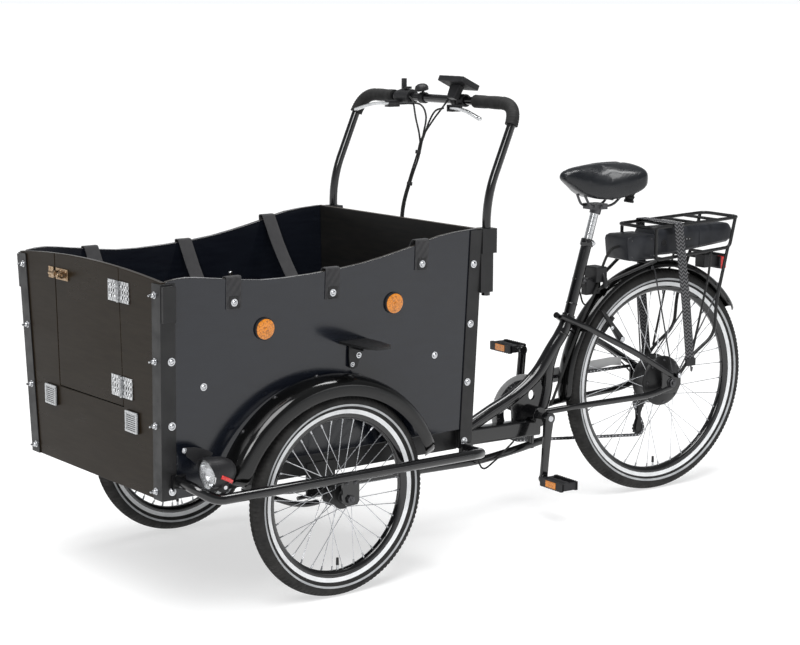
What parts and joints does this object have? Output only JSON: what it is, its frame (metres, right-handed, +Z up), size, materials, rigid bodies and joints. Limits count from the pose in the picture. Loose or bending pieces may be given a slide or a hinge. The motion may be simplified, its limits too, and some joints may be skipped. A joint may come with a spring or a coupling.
{
  "type": "cargo bicycle",
  "caption": "Electric cargo tricycle with a wavy-topped plywood box between two steered front wheels, a bent handlebar, a single rear hub-motor wheel and a battery rack.",
  "frame": {"origin": "on the ground, under the middle of the machine's overall length and width", "axes": "+Z up, +Y towards the rear wheel (the machine faces -Y), +X to the rider's left"},
  "size_m": [0.9274, 2.1936, 1.2389],
  "materials": {
    "plywood": "black film-faced plywood, satin",
    "front_plywood": "brown-black film-faced plywood, satin",
    "black_paint": "gloss black powder coat",
    "dark_steel": "dark oiled steel",
    "galvanised": "bright zinc plate",
    "aluminium": "polished aluminium",
    "tyre": "black tyre with a reflective band",
    "rubber": "matt black rubber",
    "plastic": "textured black plastic",
    "gloss_plastic": "gloss black plastic",
    "webbing": "dark grey woven webbing",
    "luggage_webbing": "black and grey patterned elastic webbing",
    "saddle_cover": "black grained synthetic leather, padded",
    "guard": "light grey plastic",
    "brass": "dull brass",
    "lamp": "clear lens over a chromed reflector"
  },
  "bodies": {
    "rear_frame": {"rear_frame": "black_paint", "fender_rear": "gloss_plastic", "rack": "black_paint", "controller": "plastic", "tail_light": "plastic", "chain_guard": "guard", "chain": "dark_steel", "derailleur": "dark_steel", "luggage_strap": "luggage_webbing"},
    "front_assembly": {"steering_frame": "black_paint", "box_side_left": "plywood", "box_side_right": "plywood", "box_front_panel": "front_plywood", "box_rear_panel": "plywood", "box_floor": "plywood", "post_front_left": "black_paint", "post_front_right": "black_paint", "post_rear_left": "black_paint", "post_rear_right": "black_paint", "hinge_upper": "galvanised", "hinge_lower": "galvanised", "strap_front": "webbing", "strap_middle": "webbing", "strap_rear": "webbing", "side_bar_left": "black_paint", "side_bar_right": "black_paint", "fender_front_left": "gloss_plastic", "fender_front_right": "gloss_plastic", "headlamp": "lamp", "side_step": "black_paint", "handlebar": "black_paint", "grip_left": "rubber", "grip_right": "rubber", "brake_mount_left": "plastic", "brake_mount_right": "plastic", "display": "plastic", "control_cables": "rubber"},
    "front_door": {"front_door": "front_plywood", "latch_barrel": "galvanised"},
    "latch_bolt": {"latch_bolt": "brass"},
    "brake_lever_left": {"brake_lever_left": "aluminium"},
    "brake_lever_right": {"brake_lever_right": "aluminium"},
    "shifter_lever": {"shifter_lever": "plastic"},
    "front_wheel_left": {"tyre_front_left": "tyre", "wheel_front_left": "aluminium"},
    "front_wheel_right": {"tyre_front_right": "tyre", "wheel_front_right": "aluminium"},
    "rear_wheel": {"tyre_rear": "tyre", "wheel_rear": "aluminium"},
    "cassette": {"cassette": "dark_steel"},
    "crankset": {"crank_left": "black_paint", "crank_right": "black_paint"},
    "pedal_left": {"pedal_left": "plastic"},
    "pedal_right": {"pedal_right": "plastic"},
    "brake_arm_left": {"brake_arm_left": "dark_steel"},
    "brake_arm_right": {"brake_arm_right": "dark_steel"},
    "battery": {"battery": "plastic"},
    "seat": {"seat_post": "aluminium", "saddle": "saddle_cover"},
    "seat_clamp_lever": {"seat_clamp_lever": "black_paint"}
  },
  "joints": [
    {"name": "steer", "type": "hinge", "parent": "rear_frame", "child": "front_assembly", "pos_m": [0, -0.599, 0.25], "axis": [0, 0, 1], "range_deg": [-38.66, 31.34]},
    {"name": "door_swing", "type": "hinge", "parent": "front_assembly", "child": "front_door", "pos_m": [0.18566, -1.05772, 0.65], "axis": [0.0014, -0.0214, 0.9998], "range_deg": [0, 110]},
    {"name": "latch_slide", "type": "slide", "parent": "front_door", "child": "latch_bolt", "axis": [0.998, 0.0638, 0], "range_m": [0, 0.02]},
    {"name": "front_wheel_left_spin", "type": "hinge", "parent": "front_assembly", "child": "front_wheel_left", "pos_m": [0.37573, -0.57497, 0.25], "axis": [0.998, 0.0638, 0], "continuous": true},
    {"name": "front_wheel_right_spin", "type": "hinge", "parent": "front_assembly", "child": "front_wheel_right", "pos_m": [-0.37573, -0.62303, 0.25], "axis": [0.998, 0.0638, 0], "continuous": true},
    {"name": "rear_wheel_spin", "type": "hinge", "parent": "rear_frame", "child": "rear_wheel", "pos_m": [0, 0.767, 0.33], "axis": [1, 0, 0], "continuous": true},
    {"name": "crank_spin", "type": "hinge", "parent": "rear_frame", "child": "crankset", "pos_m": [0, 0.313, 0.278], "axis": [1, 0, 0], "continuous": true},
    {"name": "cassette_spin", "type": "hinge", "parent": "rear_frame", "child": "cassette", "pos_m": [0, 0.767, 0.33], "axis": [1, 0, 0], "continuous": true},
    {"name": "pedal_left_spin", "type": "hinge", "parent": "crankset", "child": "pedal_left", "pos_m": [0.088, 0.2911, 0.10942], "axis": [1, 0, 0], "continuous": true},
    {"name": "pedal_right_spin", "type": "hinge", "parent": "crankset", "child": "pedal_right", "pos_m": [-0.088, 0.3349, 0.44658], "axis": [1, 0, 0], "continuous": true},
    {"name": "brake_lever_left_pull", "type": "hinge", "parent": "front_assembly", "child": "brake_lever_left", "pos_m": [0.07802, -0.03286, 1.154], "axis": [0, 0, 1], "range_deg": [0, 16], "stiffness_Nm_per_rad": 1.5, "springref_deg": -5.73},
    {"name": "brake_lever_right_pull", "type": "hinge", "parent": "front_assembly", "child": "brake_lever_right", "pos_m": [-0.19243, -0.05016, 1.154], "axis": [0, 0, -1], "range_deg": [0, 16], "stiffness_Nm_per_rad": 1.5, "springref_deg": -5.73},
    {"name": "shifter_push", "type": "hinge", "parent": "front_assembly", "child": "shifter_lever", "pos_m": [-0.15992, -0.01001, 1.195], "axis": [0, 0, 1], "range_deg": [0, 30], "stiffness_Nm_per_rad": 0.2, "springref_deg": -5.73},
    {"name": "brake_arm_left_close", "type": "hinge", "parent": "rear_frame", "child": "brake_arm_left", "pos_m": [0.042, 0.597, 0.472], "axis": [0, -0.8768, -0.4809], "range_deg": [0, 1.6]},
    {"name": "brake_arm_right_close", "type": "hinge", "parent": "rear_frame", "child": "brake_arm_right", "pos_m": [-0.042, 0.597, 0.472], "axis": [0, 0.8768, 0.4809], "range_deg": [0, 1.6]},
    {"name": "battery_slide", "type": "slide", "parent": "rear_frame", "child": "battery", "axis": [0, 1, 0], "range_m": [0, 0.3]},
    {"name": "seat_height", "type": "slide", "parent": "rear_frame", "child": "seat", "axis": [0, 0.2915, 0.9566], "range_m": [-0.06, 0.07]},
    {"name": "seat_clamp_open", "type": "hinge", "parent": "rear_frame", "child": "seat_clamp_lever", "pos_m": [0.0265, 0.49852, 0.75397], "axis": [0, 0, 1], "range_deg": [0, 120]}
  ],
  "couplings": [
    {"joint": "cassette_spin", "follows": "crank_spin", "ratio": 2.2632},
    {"joint": "brake_arm_left_close", "follows": "brake_lever_right_pull", "ratio": 0.09},
    {"joint": "brake_arm_right_close", "follows": "brake_lever_right_pull", "ratio": 0.09}
  ]
}
